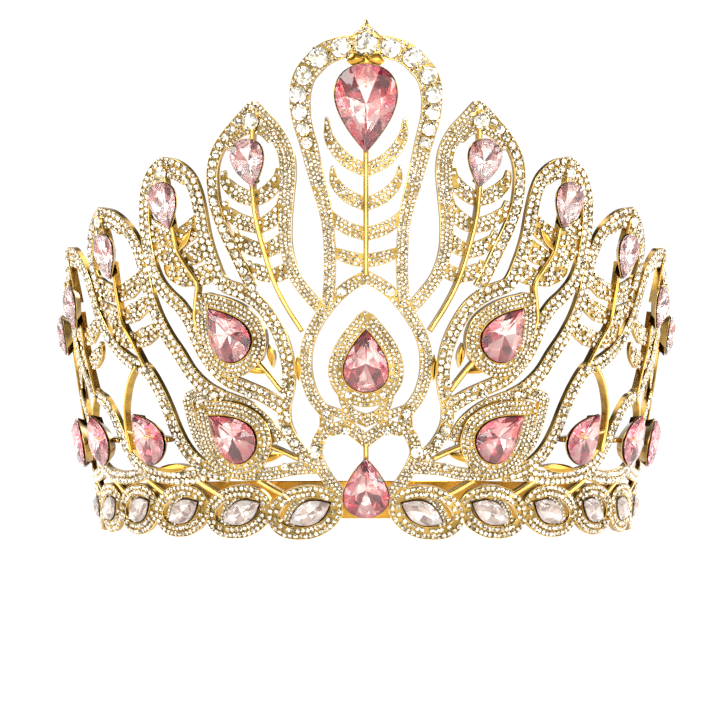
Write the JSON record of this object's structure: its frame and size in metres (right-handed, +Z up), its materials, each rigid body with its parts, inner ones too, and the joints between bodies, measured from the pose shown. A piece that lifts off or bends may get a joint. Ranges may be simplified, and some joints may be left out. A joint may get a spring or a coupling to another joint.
{
  "type": "crystal crown",
  "caption": "Tall gilt crown of pierced peacock feathers with pink pear stones, pale marquise stones along the rim and a plain band round the back.",
  "frame": {"origin": "middle of the bounding box, on the surface that the rim rests on", "axes": "+Z up, -Y out of the front of the crown, +X to the right when it is seen from the front"},
  "size_m": [0.1712, 0.1682, 0.121],
  "materials": {
    "gilt_metal": "polished yellow gold plating",
    "pink_crystal": "foiled, facet cut",
    "pale_crystal": "foiled, facet cut",
    "clear_crystal": "foiled, facet cut"
  },
  "bodies": {
    "root": {"gold_frame": "gilt_metal", "centre_eye": "pink_crystal", "centre_pear": "pink_crystal", "bottom_drop": "pink_crystal", "feather_eye_1_right": "pink_crystal", "feather_eye_1_left": "pink_crystal", "feather_eye_2_right": "pink_crystal", "feather_eye_2_left": "pink_crystal", "feather_eye_3_right": "pink_crystal", "feather_eye_3_left": "pink_crystal", "feather_eye_4_right": "pink_crystal", "feather_eye_4_left": "pink_crystal", "feather_eye_5_right": "pink_crystal", "feather_eye_5_left": "pink_crystal", "upper_oval_right": "pink_crystal", "upper_oval_left": "pink_crystal", "lower_oval_right": "pink_crystal", "lower_oval_left": "pink_crystal", "side_drop_1_right": "pink_crystal", "side_drop_1_left": "pink_crystal", "side_drop_2_right": "pink_crystal", "side_drop_2_left": "pink_crystal", "side_drop_3_right": "pink_crystal", "side_drop_3_left": "pink_crystal", "marquise_1_right": "pale_crystal", "marquise_1_left": "pale_crystal", "marquise_2_right": "pale_crystal", "marquise_2_left": "pale_crystal", "marquise_3_right": "pale_crystal", "marquise_3_left": "pale_crystal", "marquise_4_right": "pale_crystal", "marquise_4_left": "pale_crystal", "marquise_5_right": "pale_crystal", "marquise_5_left": "pale_crystal", "marquise_6_right": "pale_crystal", "marquise_6_left": "pale_crystal"}
  },
  "joints": []
}
